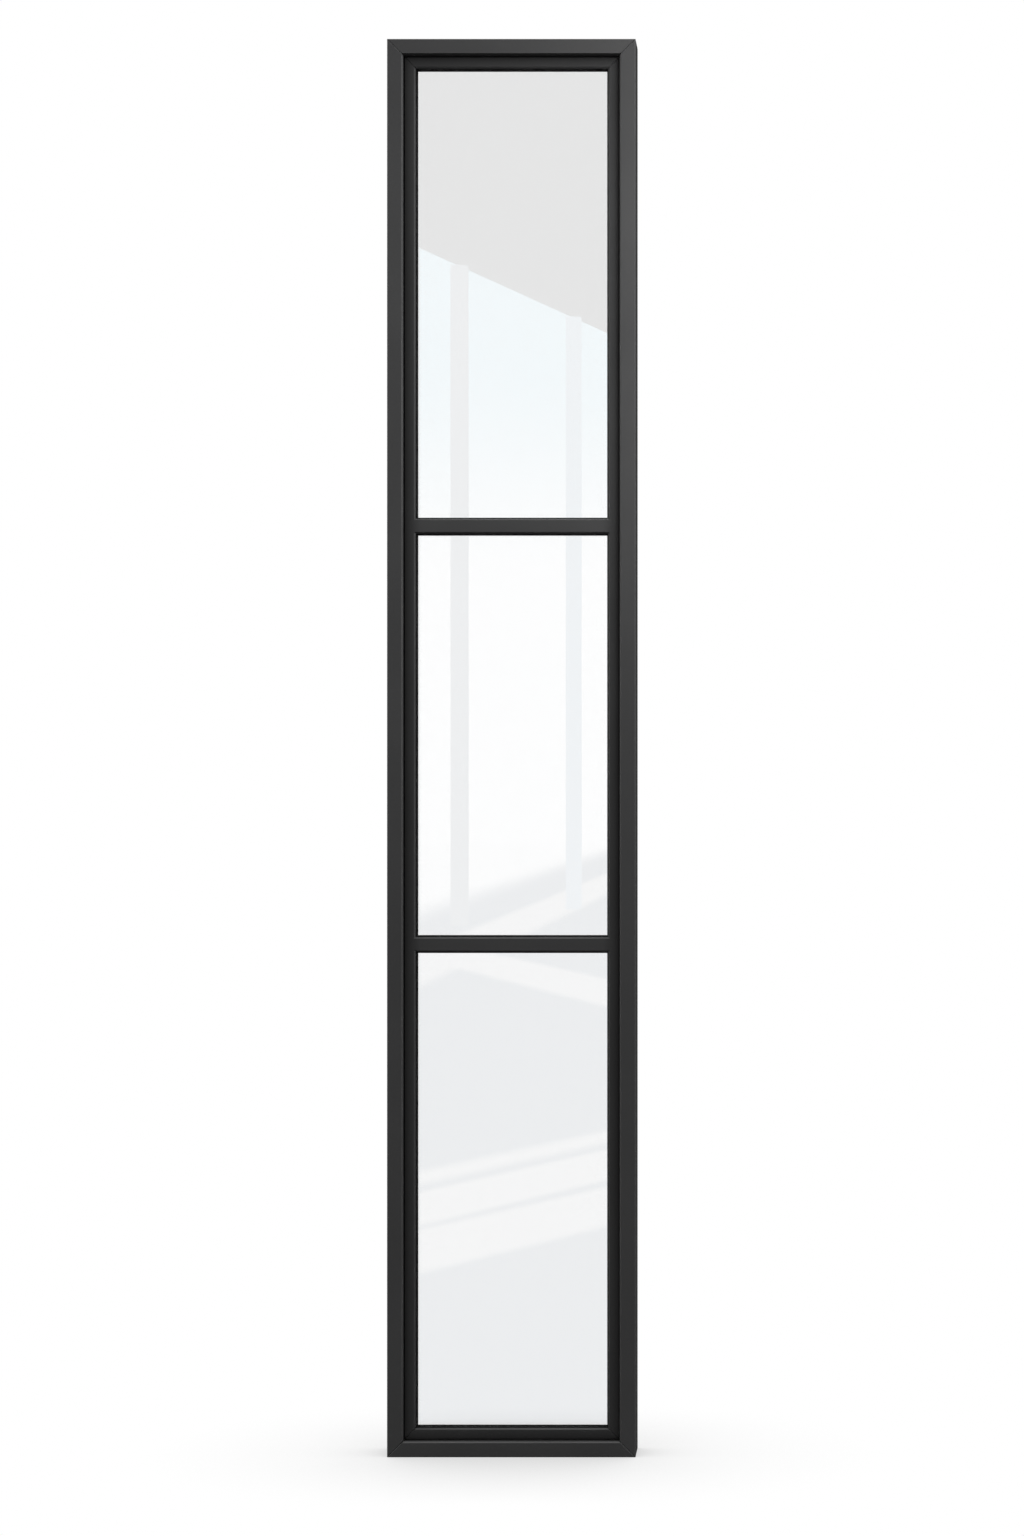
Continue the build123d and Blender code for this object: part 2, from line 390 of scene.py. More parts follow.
@dataclass(frozen=True)
class Effects:
    """The shared effects, made once."""

    peel: bpy.types.NodeTree
    drift: bpy.types.NodeTree
    dust: bpy.types.NodeTree
    recess: bpy.types.NodeTree

    @staticmethod
    def make() -> "Effects":
        """Make every shared effect."""
        return Effects(make_peel(), make_drift(), make_dust(), make_recess())


def new_material(
    name: str,
) -> tuple[bpy.types.Material, NodeSheet, bpy.types.Node, bpy.types.NodeSocket]:
    """Start a material with a Principled shader.

    Args:
        name: The material's name.

    Returns:
        The material, its sheet, its Principled node and the Surface input of its output.
    """
    material = bpy.data.materials.new(name)
    material.use_nodes = True
    material.node_tree.nodes.clear()
    sheet = NodeSheet(material.node_tree)
    output = sheet.add("ShaderNodeOutputMaterial")
    shader = sheet.add("ShaderNodeBsdfPrincipled")
    sheet.tree.links.new(shader.outputs[0], output.inputs["Surface"])
    return material, sheet, shader, output.inputs["Surface"]


def object_vector(
    sheet: NodeSheet,
    offset: Point = (0.0, 0.0, 0.0),
    scale: Point = (1.0, 1.0, 1.0),
) -> bpy.types.NodeSocket:
    """Object coordinates, moved and stretched.

    Args:
        sheet: The material's sheet.
        offset: Move, so that neighbours don't share one pattern.
        scale: Stretch along each axis.

    Returns:
        The socket with the coordinates.
    """
    place = sheet.add("ShaderNodeTexCoord").outputs["Object"]
    inputs = {"Vector": place, "Location": offset, "Scale": scale}
    return sheet.add("ShaderNodeMapping", inputs).outputs[0]


@dataclass(frozen=True)
class PowderCoat:
    """Satin powder coat on extruded metal, with painted shade beside the steps, in the reveals, on
    the outer sides and on undersides.
    """

    name: str
    colour: Colour = (0.043, 0.043, 0.0435)
    dust_colour: Colour = (0.30, 0.29, 0.275)
    roughness: float = 0.40
    roughness_swing: float = 0.07
    matt_rise: float = 0.6
    patches: Range = (0.3, 0.7)
    tone_swing: float = 0.16
    dust: float = 0.05
    peel_scale: float = 950.0
    grain_scale: float = 5200.0
    bump: float = 0.10
    bump_depth: float = 0.00006
    # Painted shade: depth of the face, where the step lies and how far its shade reaches, and how
    # strong the shade is beside the step, in reveals, on outer sides and on undersides; seam:
    # strength of the dark line along the mitres
    face_depth: float = 0.0
    step_place: float = 0.023
    step_reach: float = 0.024
    beside: float = 0.82
    down: float = 0.93
    under: float = 0.96
    outer: float = 0.75
    seam: float = 0.5
    arris_depth: float = 0.0007
    # Colour of the painted shade and of the dark mitre seams
    shade_and_seam_colour: Colour = (0.0025, 0.0025, 0.0025)
    offset: Point = (0.0, 0.0, 0.0)

    def material(self, effects: Effects) -> bpy.types.Material:
        """Make the material.

        Args:
            effects: The shared effects.

        Returns:
            The material.
        """
        material, sheet, shader, _ = new_material(self.name)
        place = object_vector(sheet, self.offset)
        drift = sheet.group(
            effects.drift,
            {"Vector": place, "Colour": (*self.colour, 1.0), "Amount": self.tone_swing},
        )
        dust = sheet.group(effects.dust, {"Vector": place, "Amount": self.dust}).outputs["Mask"]
        colour = sheet.mix(dust, drift.outputs["Colour"], (*self.dust_colour, 1.0))
        recess = sheet.group(
            effects.recess,
            {
                "Vector": sheet.add("ShaderNodeTexCoord").outputs["Object"],
                "Step Place": self.step_place,
                "Step Reach": self.step_reach,
                "Face Depth": self.face_depth,
            },
        )
        # Painted shade near the step, in the reveals and on the outer sides, and on faces that look
        # down, together with the dark mitre seams
        beside = sheet.math("MULTIPLY", recess.outputs["Beside"], self.beside)
        most = sheet.spread(recess.outputs["Outer"], 0.0, 1.0, self.down, self.outer)
        down = sheet.math("MULTIPLY", recess.outputs["Down"], most)
        under = sheet.math("MULTIPLY", recess.outputs["Under"], self.under)
        seam = sheet.math("MULTIPLY", recess.outputs["Seam"], self.seam)
        hidden = sheet.math("MAXIMUM", down, under)
        shade_and_seam = sheet.math("MAXIMUM", sheet.math("MAXIMUM", beside, seam), hidden)
        colour = sheet.mix(shade_and_seam, colour, (*self.shade_and_seam_colour, 1.0))
        low = self.roughness - self.roughness_swing
        high = self.roughness + self.roughness_swing
        rubbed = sheet.spread(drift.outputs["Patch"], *self.patches, low, high)
        side = sheet.math("MULTIPLY", recess.outputs["Outer"], recess.outputs["Down"])
        matt = sheet.math("MULTIPLY", sheet.math("MAXIMUM", hidden, side), self.matt_rise)
        rough = sheet.math("ADD", sheet.math("ADD", rubbed, dust), matt)
        peel = sheet.group(
            effects.peel,
            {"Vector": place, "Peel Scale": self.peel_scale, "Grain Scale": self.grain_scale},
        )
        skin = sheet.bump(self.bump, self.bump_depth, peel.outputs["Height"])
        normal = sheet.bump(1.0, self.arris_depth, recess.outputs["Arris"], skin)
        sheet.feed(shader, {"Base Color": colour, "Roughness": rough, "Normal": normal})
        return material


@dataclass(frozen=True)
class FloatGlass:
    """Clear float glass with the faint roller wave of a toughened sheet."""

    name: str
    colour: Colour = (0.964, 0.965, 0.965)
    index: float = 1.52
    wave_stretch: Point = (0.6, 1.0, 1.0)
    wave_scale: float = 3.2
    wave_strength: float = 0.05
    wave_depth: float = 0.0006

    def material(self) -> bpy.types.Material:
        """Make the material, which lets light from lamps through.

        Returns:
            The material.
        """
        material, sheet, shader, surface = new_material(self.name)
        wave = sheet.noise(object_vector(sheet, scale=self.wave_stretch), self.wave_scale, 1.0)
        looks = {
            "Base Color": (*self.colour, 1.0),
            "Roughness": 0.0,
            "IOR": self.index,
            "Transmission Weight": 1.0,
            "Normal": sheet.bump(self.wave_strength, self.wave_depth, wave),
        }
        sheet.feed(shader, looks)
        clear = sheet.add("ShaderNodeBsdfTransparent", {"Color": (*self.colour, 1.0)})
        shadow = sheet.add("ShaderNodeLightPath").outputs["Is Shadow Ray"]
        sheet.tree.links.new(sheet.blend(shadow, shader, clear).outputs[0], surface)
        return material


@dataclass(frozen=True)
class BlackRubber:
    """Extruded black rubber with faint lines along it and a bloom of pale dust."""

    name: str
    colour: Colour = (0.004, 0.004, 0.0041)
    bloom_colour: Colour = (0.060, 0.058, 0.056)
    roughness: float = 0.8
    roughness_swing: float = 0.1
    patches: Range = (0.2, 0.8)
    tone_swing: float = 0.5
    shine: float = 0.2
    bloom: float = 0.08
    skin_scale: float = 2600.0
    bump: float = 0.25
    bump_depth: float = 0.0001

    def material(self, effects: Effects) -> bpy.types.Material:
        """Make the material.

        Args:
            effects: The shared effects.

        Returns:
            The material.
        """
        material, sheet, shader, _ = new_material(self.name)
        place = object_vector(sheet)
        drift = sheet.group(
            effects.drift,
            {"Vector": place, "Colour": (*self.colour, 1.0), "Amount": self.tone_swing},
        )
        dust = sheet.group(effects.dust, {"Vector": place, "Amount": self.bloom}).outputs["Mask"]
        colour = sheet.mix(dust, drift.outputs["Colour"], (*self.bloom_colour, 1.0))
        low = self.roughness - self.roughness_swing
        high = self.roughness + self.roughness_swing
        skin = sheet.noise(place, self.skin_scale, 2.0)
        looks = {
            "Base Color": colour,
            "Roughness": sheet.spread(drift.outputs["Patch"], *self.patches, low, high),
            "Specular IOR Level": self.shine,
            "Normal": sheet.bump(self.bump, self.bump_depth, skin),
        }
        sheet.feed(shader, looks)
        return material


@dataclass(frozen=True)
class SpacerStrip:
    """Dark edge strip of a sealed unit, with a row of small vents along its middle."""

    name: str
    colour: Colour = (0.020, 0.020, 0.021)
    # The vents are not cut: they are painted near black, as painted shade inside them
    vent_shade_colour: Colour = (0.001, 0.001, 0.001)
    roughness: float = 0.5
    roughness_swing: float = 0.08
    patches: Range = (0.2, 0.8)
    tone_swing: float = 0.3
    vent_pitch: float = 0.004
    vent_length: float = 0.0013
    vent_width: float = 0.0005

    def vents(self, sheet: NodeSheet) -> bpy.types.NodeSocket:
        """Mask of the vents, which follow the strip up its sides and across its ends.

        Args:
            sheet: The material's sheet.

        Returns:
            The socket with the mask.
        """
        place = sheet.add("ShaderNodeTexCoord").outputs["Object"]
        parts = sheet.add("ShaderNodeSeparateXYZ", {0: place}).outputs
        normal = sheet.add("ShaderNodeNewGeometry").outputs["True Normal"]
        level = sheet.math("ABSOLUTE", sheet.add("ShaderNodeSeparateXYZ", {0: normal}).outputs["Z"])
        across = sheet.math("MULTIPLY", parts["X"], sheet.math("GREATER_THAN", level, 0.5))
        up = sheet.math("MULTIPLY", parts["Z"], sheet.math("LESS_THAN", level, 0.5))
        along = sheet.math("PINGPONG", sheet.math("ADD", across, up), self.vent_pitch / 2)
        off_row = sheet.math("ABSOLUTE", parts["Y"])
        row = sheet.spread(off_row, self.vent_width, self.vent_width * 1.4, 1.0, 0.0)
        hole = sheet.spread(along, self.vent_length / 2, self.vent_length * 0.7, 1.0, 0.0)
        return sheet.math("MULTIPLY", row, hole)

    def material(self, effects: Effects) -> bpy.types.Material:
        """Make the material.

        Args:
            effects: The shared effects.

        Returns:
            The material.
        """
        material, sheet, shader, _ = new_material(self.name)
        place = object_vector(sheet)
        drift = sheet.group(
            effects.drift,
            {"Vector": place, "Colour": (*self.colour, 1.0), "Amount": self.tone_swing},
        )
        vent = (*self.vent_shade_colour, 1.0)
        low = self.roughness - self.roughness_swing
        high = self.roughness + self.roughness_swing
        looks = {
            "Base Color": sheet.mix(self.vents(sheet), drift.outputs["Colour"], vent),
            "Roughness": sheet.spread(drift.outputs["Patch"], *self.patches, low, high),
        }
        sheet.feed(shader, looks)
        return material


@dataclass(frozen=True)
class Opening:
    """An upright rectangle, seen from the front."""

    half_width: float
    bottom: float
    top: float

    def size(self, inward: float) -> tuple[float, float]:
        """Width and height once every side has moved in."""
        return 2 * (self.half_width - inward), self.top - self.bottom - 2 * inward


@dataclass
class SweptRing:
    """A mitred ring round an opening, swept from a section.

    The section's corners say how far in from the opening's edge they lie, and how far behind the
    face of the side that the ring belongs to.
    """

    name: str
    opening: Opening
    side: Side
    corners: tuple[tuple[float, float], ...]
    rounded: tuple[int, ...]
    radius: float
    sharp_angle: float = math.radians(35.0)

    def depth(self, behind: float) -> float:
        """Where a depth behind the face lies along Y."""
        return self.side.value * (CAD_BOX[1].y - behind)

    def sweep(self, work: bmesh.types.BMesh) -> list[list[bmesh.types.BMEdge]]:
        """Extrude one rectangle of edges through the section's corners.

        Args:
            work: The empty mesh.

        Returns:
            The rectangle of edges at each corner.
        """
        bmesh.ops.create_grid(work, x_segments=1, y_segments=1, size=0.5)
        upright = Matrix.Rotation(math.radians(90.0), 3, "X")
        bmesh.ops.rotate(work, matrix=upright, verts=work.verts[:])
        bmesh.ops.delete(work, geom=work.faces[:], context="FACES_ONLY")
        verts = work.verts[:]
        loops = [work.edges[:]]
        wide, high, deep = 1.0, 1.0, 0.0
        for number, (inward, behind) in enumerate(self.corners):
            if number:
                made = bmesh.ops.extrude_edge_only(work, edges=loops[-1])["geom"]
                verts = [part for part in made if isinstance(part, bmesh.types.BMVert)]
                edges = [part for part in made if isinstance(part, bmesh.types.BMEdge)]
                loops.append([edge for edge in edges if all(vert in verts for vert in edge.verts)])
            new_wide, new_high = self.opening.size(inward)
            bmesh.ops.scale(work, vec=(new_wide / wide, 1.0, new_high / high), verts=verts)
            bmesh.ops.translate(work, vec=(0.0, self.depth(behind) - deep, 0.0), verts=verts)
            wide, high, deep = new_wide, new_high, self.depth(behind)
        return loops

    def build(self, material: bpy.types.Material, slot: str, node: str) -> None:
        """Make the ring in the place of a piece of the solids.

        Args:
            material: Its finish.
            slot: The record's slot of that finish; not used.
            node: The piece that it stands for.
        """
        work = bmesh.new()
        loops = self.sweep(work)
        bmesh.ops.bridge_loops(work, edges=loops[0] + loops[-1])
        bmesh.ops.recalc_face_normals(work, faces=work.faces[:])
        bmesh.ops.bevel(
            work,
            geom=[edge for number in self.rounded for edge in loops[number]],
            offset=self.radius,
            offset_type="OFFSET",
            affect="EDGES",
            segments=3,
            profile=0.5,
            material=-1,
        )
        middle = (self.opening.bottom + self.opening.top) / 2
        bmesh.ops.translate(work, vec=(0.0, 0.0, middle), verts=work.verts[:])
        for face in work.faces:
            face.smooth = True
        for edge in work.edges:
            edge.smooth = edge.calc_face_angle(0.0) < self.sharp_angle
        mesh = bpy.data.meshes.new(self.name)
        work.to_mesh(mesh)
        work.free()
        mesh.materials.append(material)
        piece = bpy.data.objects.new(self.name, mesh)
        bpy.context.scene.collection.objects.link(piece)
        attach(piece, BODY)
        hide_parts(node)
        LOG.info("made %s for %s", self.name, node)


def dress(node: str, material: bpy.types.Material) -> None:
    """Give a piece of the solids its finish.

    Args:
        node: The piece's name.
        material: Its finish.
    """
    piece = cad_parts[node]
    piece.data.materials.clear()
    piece.data.materials.append(material)
    LOG.info("dressed %s with %s", node, material.name)


@dataclass
class MetalMembers:
    """Coated members of one ring; uprights and levels have different stretches of the pattern."""

    upright_nodes: list[str]
    level_nodes: list[str]
    upright_finish: PowderCoat
    level_finish: PowderCoat

    def dress(self, effects: Effects) -> None:
        """Give each member its finish.

        Args:
            effects: The shared effects.
        """
        upright = self.upright_finish.material(effects)
        level = self.level_finish.material(effects)
        for node in self.upright_nodes:
            dress(node, upright)
        for node in self.level_nodes:
            dress(node, level)


@dataclass
class GlassUnits:
    """The sealed units, with their edge strips, gaskets and setting blocks."""

    clear: dict[str, Opening]
    bead_clear: dict[str, Opening]
    glass: FloatGlass
    gasket: BlackRubber
    spacer: SpacerStrip
    block: BlackRubber
    # A gasket: its foot behind the lip, its nose on the glass, and the skirt along the lip's edge
    seat: float = 0.02405
    on_glass: float = 0.02697
    foot: float = 0.0015
    nose: float = 0.0019
    nose_depth: float = 0.0014
    skirt: float = 0.0009
    skirt_start: float = 0.0139
    skin_gap: float = 0.00002
    gasket_radius: float = 0.0003
    gasket_rounded: tuple[int, ...] = (2, 3, 4)
    # An edge strip: shoulders at the glass and a groove along its middle
    strip_start: float = 0.0005
    strip_end: float = 0.0075
    strip_front: float = 0.03104
    shoulder: float = 0.0013
    groove: float = 0.0004
    strip_radius: float = 0.0003
    strip_rounded: tuple[int, ...] = (2, 7)

    def gasket_corners(self) -> tuple[tuple[float, float], ...]:
        """Section of a gasket, from the back of its foot round its nose and skirt.

        Returns:
            The section's corners.
        """
        nose_top = self.on_glass - self.nose_depth
        return (
            (-self.foot, self.on_glass),
            (self.nose, self.on_glass),
            (self.nose, nose_top),
            (self.skirt, nose_top - 2 * (self.nose - self.skirt)),
            (self.skirt, self.skirt_start),
            (self.skin_gap, self.skirt_start),
            (self.skin_gap, self.seat),
            (-self.foot, self.seat),
        )

    def strip_corners(self) -> tuple[tuple[float, float], ...]:
        """Section of an edge strip, from one sheet of glass to the other.

        Returns:
            The section's corners.
        """
        middle = CAD_BOX[1].y
        half = middle - self.strip_front
        inner = self.strip_end
        near = (
            (self.strip_start, -half),
            (inner - self.shoulder, -half),
            (inner, self.shoulder - half),
            (inner, -2 * self.groove),
            (inner - self.groove, -self.groove),
        )
        far = tuple((inward, -offset) for inward, offset in reversed(near))
        return tuple((inward, middle + offset) for inward, offset in near + far)

    def build_gasket(self, bay: str, side: Side, material: bpy.types.Material) -> None:
        """Make the gasket of one side of a bay.

        Args:
            bay: The bay's name.
            side: The side that it is on.
            material: Its finish.
        """
        outside = side is Side.OUTSIDE
        opening = self.clear[bay] if outside else self.bead_clear[bay]
        word = "outer" if outside else "inner"
        ring = SweptRing(
            f"{word}_gasket_lip_{bay}",
            opening,
            side,
            self.gasket_corners(),
            self.gasket_rounded,
            self.gasket_radius,
        )
        ring.build(material, "gasket", f"{word}_gasket_{bay}")

    def build_strip(self, bay: str, material: bpy.types.Material) -> None:
        """Make the edge strip of a bay's unit, inside the edge of its glass.

        Args:
            bay: The bay's name.
            material: Its finish.
        """
        low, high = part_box(f"outer_glass_{bay}")
        opening = Opening(high[0], low[2], high[2])
        ring = SweptRing(
            f"edge_strip_{bay}",
            opening,
            Side.OUTSIDE,
            self.strip_corners(),
            self.strip_rounded,
            self.strip_radius,
        )
        ring.build(material, "spacer", f"glass_spacer_{bay}")

    def dress(self, effects: Effects) -> None:
        """Make the gaskets and strips, and give the other pieces their finish.

        Args:
            effects: The shared effects.
        """
        glass = self.glass.material()
        gasket = self.gasket.material(effects)
        spacer = self.spacer.material(effects)
        block = self.block.material(effects)
        for bay in self.clear:
            dress(f"outer_glass_{bay}", glass)
            dress(f"inner_glass_{bay}", glass)
            for side in Side:
                self.build_gasket(bay, side, gasket)
            self.build_strip(bay, spacer)
            dress(f"setting_block_{bay}_left", block)
            dress(f"setting_block_{bay}_right", block)


def reflected_ray(sheet: NodeSheet) -> bpy.types.NodeSocket:
    """Tell rays that glass has mirrored, also those that leave through its other side.

    Args:
        sheet: The sheet of a material or world.

    Returns:
        The socket with 1 for such rays and 0 for all others.
    """
    path = sheet.add("ShaderNodeLightPath")
    mirrored = sheet.math("GREATER_THAN", path.outputs["Glossy Depth"], 0.5)
    return sheet.math("MULTIPLY", mirrored, path.outputs["Is Singular Ray"])


def seen_ray(sheet: NodeSheet) -> bpy.types.NodeSocket:
    """Tell rays that come from the camera, straight or through glass.

    Args:
        sheet: The sheet of a material or world.

    Returns:
        The socket with 1 for such rays and 0 for all others.
    """
    path = sheet.add("ShaderNodeLightPath")
    seen = sheet.math("MAXIMUM", path.outputs["Is Camera Ray"], path.outputs["Is Transmission Ray"])
    return sheet.math("MULTIPLY", seen, sheet.math("LESS_THAN", path.outputs["Diffuse Depth"], 0.5))


@dataclass
class Camera:
    """The photograph's camera: level, square to the face, shifted to keep it in the middle."""

    distance: float = 4.937
    right: float = 0.40
    sensor: float = 36.0

    def build(self) -> None:
        """Make the camera and set it as the scene's."""
        data = bpy.data.cameras.new("camera")
        camera = bpy.data.objects.new("camera", data)
        bpy.context.scene.collection.objects.link(camera)
        data.sensor_width = self.sensor
        data.lens = self.sensor * self.distance / METRES_PER_PIXEL / PHOTO_HEIGHT
        aside = self.right / METRES_PER_PIXEL + FRAME_MIDDLE_PIXEL - PHOTO_WIDTH / 2
        data.shift_x = -aside / PHOTO_HEIGHT
        eye_height = (FLOOR_PIXEL - PHOTO_HEIGHT / 2) * METRES_PER_PIXEL
        camera.location = (self.right, CAD_BOX[0].y - self.distance, eye_height)
        camera.rotation_euler = (math.radians(90.0), 0.0, 0.0)
        bpy.context.scene.camera = camera
        LOG.info("camera %.1f mm, shift %.4f", data.lens, data.shift_x)


@dataclass
class SoftLamp:
    """A flat lamp that looks at a point."""

    name: str
    place: Point
    aim: Point
    wide: float
    high: float
    power: float

    def build(self) -> None:
        """Make the lamp."""
        data = bpy.data.lights.new(self.name, "AREA")
        data.shape = "RECTANGLE"
        data.size = self.wide
        data.size_y = self.high
        data.energy = self.power
        lamp = bpy.data.objects.new(self.name, data)
        lamp.location = self.place
        toward = Vector(self.aim) - Vector(self.place)
        lamp.rotation_euler = toward.to_track_quat("-Z", "Y").to_euler()
        lamp.visible_camera = False
        lamp.visible_glossy = False
        lamp.visible_transmission = False
        bpy.context.scene.collection.objects.link(lamp)
        LOG.info("lamp %s", self.name)


@dataclass
class Surroundings:
    """White to the camera; as light and in reflections bright at the sides, dim in front.

    The ranges are of the parts of a ray's direction: along Y toward the inside, and along Z upward.
    """

    side_level: float = 1.6
    front_level: float = 0.15
    side_edge: float = 0.30
    front_edge: float = 0.92
    behind: Range = (0.1, 0.7)
    behind_dim: float = 0.985
    horizon: Colour = (1.42, 1.43, 1.45)
    sky: Colour = (0.80, 1.12, 1.25)
    sky_rise: Range = (0.05, 0.12)
    sky_end: Range = (0.17, 0.34)
    ahead: Range = (-0.93, -0.75)

    def build(self) -> None:
        """Make the world."""
        world = bpy.data.worlds.new("studio")
        bpy.context.scene.world = world
        world.use_nodes = True
        world.node_tree.nodes.clear()
        sheet = NodeSheet(world.node_tree)
        toward = sheet.add("ShaderNodeTexCoord").outputs["Generated"]
        parts = sheet.add("ShaderNodeSeparateXYZ", {0: toward}).outputs
        facing = sheet.math("ABSOLUTE", parts["Y"])
        edges = (self.side_edge, self.front_edge)
        ring = sheet.spread(facing, *edges, self.side_level, self.front_level)
        mirrored = sheet.add("ShaderNodeLightPath").outputs["Glossy Depth"]
        behind = sheet.spread(parts["Y"], *self.behind, 0.0, self.behind_dim)
        dim = sheet.math("MULTIPLY", behind, sheet.math("GREATER_THAN", mirrored, 0.5))
        ring = sheet.math("MULTIPLY", ring, sheet.math("SUBTRACT", 1.0, dim))
        grey = sheet.add("ShaderNodeCombineColor", {0: ring, 1: ring, 2: ring}).outputs[0]
        blue = sheet.spread(parts["Z"], *self.sky_rise, 0.0, 1.0)
        view = sheet.mix(blue, (*self.horizon, 1.0), (*self.sky, 1.0))
        ahead = sheet.spread(parts["Y"], *self.ahead, 1.0, 0.0)
        band = sheet.math("MULTIPLY", ahead, sheet.spread(parts["Z"], *self.sky_end, 1.0, 0.0))
        light = sheet.add("ShaderNodeBackground", {"Color": grey})
        mirror_view = sheet.add("ShaderNodeBackground", {"Color": sheet.mix(band, grey, view)})
        white = sheet.add("ShaderNodeBackground", {"Color": (1.0, 1.0, 1.0, 1.0)})
        plain = sheet.blend(seen_ray(sheet), light, white)
        final = sheet.blend(reflected_ray(sheet), plain, mirror_view)
        output = sheet.add("ShaderNodeOutputWorld")
        sheet.tree.links.new(final.outputs[0], output.inputs["Surface"])


@dataclass(frozen=True)
class LightStrip:
    """A slanting strip of light on the floor in front."""

    slant: float
    start: float
    end: float
    edge: float

    def reach(self, sheet: NodeSheet) -> bpy.types.NodeSocket:
        """Distance in front, measured along the strip's slant.

        Args:
            sheet: The floor's sheet.

        Returns:
            The socket with the distance.
        """
        place = sheet.add("ShaderNodeTexCoord").outputs["Object"]
        parts = sheet.add("ShaderNodeSeparateXYZ", {0: place}).outputs
        return sheet.math("SUBTRACT", sheet.math("MULTIPLY", parts["X"], -self.slant), parts["Y"])

    def mask(self, sheet: NodeSheet) -> bpy.types.NodeSocket:
        """Mask of the strip.

        Args:
            sheet: The floor's sheet.

        Returns:
            The socket with the mask.
        """
        reach = self.reach(sheet)
        rise = sheet.spread(reach, self.start - self.edge, self.start + self.edge, 0.0, 1.0)
        fall = sheet.spread(reach, self.end - self.edge, self.end + self.edge, 1.0, 0.0)
        return sheet.math("MULTIPLY", rise, fall)


@dataclass
class Floor:
    """White floor with a soft shadow round the base; dimmer and with strips of light in the glass."""

    size: float = 80.0
    shadow_reach: float = 0.35
    shadow_samples: int = 8
    shadow_tone: float = 0.65
    shadow_from: float = 0.42
    bounce_tone: float = 0.26
    gloss_tone: float = 0.18
    mirrored: Colour = (0.40, 0.48, 0.57)
    inside: Colour = (0.05, 0.05, 0.05)
    lit: Colour = (0.93, 0.94, 0.96)
    strips: tuple[LightStrip, ...] = (
        LightStrip(slant=2.1, start=2.45, end=3.23, edge=0.08),
        LightStrip(slant=2.3, start=3.39, end=4.13, edge=0.08),
        LightStrip(slant=2.3, start=4.31, end=4.64, edge=0.14),
        LightStrip(slant=-3.08, start=8.18, end=9.72, edge=0.21),
        LightStrip(slant=47.2, start=70.8, end=89.7, edge=3.1),
    )
    distant: Colour = (1.36, 1.37, 1.39)
    haze: LightStrip = LightStrip(slant=47.2, start=119.6, end=6000.0, edge=14.0)

    def glass_view(self, sheet: NodeSheet) -> bpy.types.NodeSocket:
        """Colour of the floor as glass mirrors it.

        Args:
            sheet: The floor's sheet.

        Returns:
            The socket with the colour.
        """
        glow = (*self.mirrored, 1.0)
        for strip in self.strips:
            glow = sheet.mix(strip.mask(sheet), glow, (*self.lit, 1.0))
        glow = sheet.mix(self.haze.mask(sheet), glow, (*self.distant, 1.0))
        place = sheet.add("ShaderNodeTexCoord").outputs["Object"]
        parts = sheet.add("ShaderNodeSeparateXYZ", {0: place}).outputs
        return sheet.mix(sheet.math("GREATER_THAN", parts["Y"], 0.0), glow, (*self.inside, 1.0))

    def material(self) -> bpy.types.Material:
        """Make the floor's material.

        Returns:
            The material.
        """
        material, sheet, shader, surface = new_material("floor")
        depth = sheet.add("ShaderNodeLightPath").outputs["Glossy Depth"]
        plain = (*[self.bounce_tone] * 3, 1.0)
        dim = (*[self.gloss_tone] * 3, 1.0)
        tone = sheet.mix(sheet.math("GREATER_THAN", depth, 0.5), plain, dim)
        sheet.feed(shader, {"Base Color": tone, "Roughness": 1.0, "Specular IOR Level": 0.0})
        near = sheet.add(
            "ShaderNodeAmbientOcclusion",
            {"Distance": self.shadow_reach},
            samples=self.shadow_samples,
        )
        shade = sheet.spread(
            near.outputs["AO"], self.shadow_from, 1.0, self.shadow_tone, 1.0, Ease.EVEN
        )
        white = sheet.add("ShaderNodeEmission", {"Strength": shade})
        mirrored = sheet.add("ShaderNodeEmission", {"Color": self.glass_view(sheet), "Strength": 1.0})
        plain = sheet.blend(seen_ray(sheet), shader, white)
        both = sheet.blend(reflected_ray(sheet), plain, mirrored)
        under = sheet.add("ShaderNodeNewGeometry").outputs["Backfacing"]
        final = sheet.blend(under, both, sheet.add("ShaderNodeBsdfTransparent"))
        sheet.tree.links.new(final.outputs[0], surface)
        return material

    def build(self) -> None:
        """Make the floor, level with the frame's base."""
        mesh = bpy.data.meshes.new("floor")
        work = bmesh.new()
        bmesh.ops.create_grid(work, x_segments=1, y_segments=1, size=self.size / 2)
        work.to_mesh(mesh)
        work.free()
        mesh.materials.append(self.material())
        floor = bpy.data.objects.new("floor", mesh)
        bpy.context.scene.collection.objects.link(floor)
        LOG.info("floor")


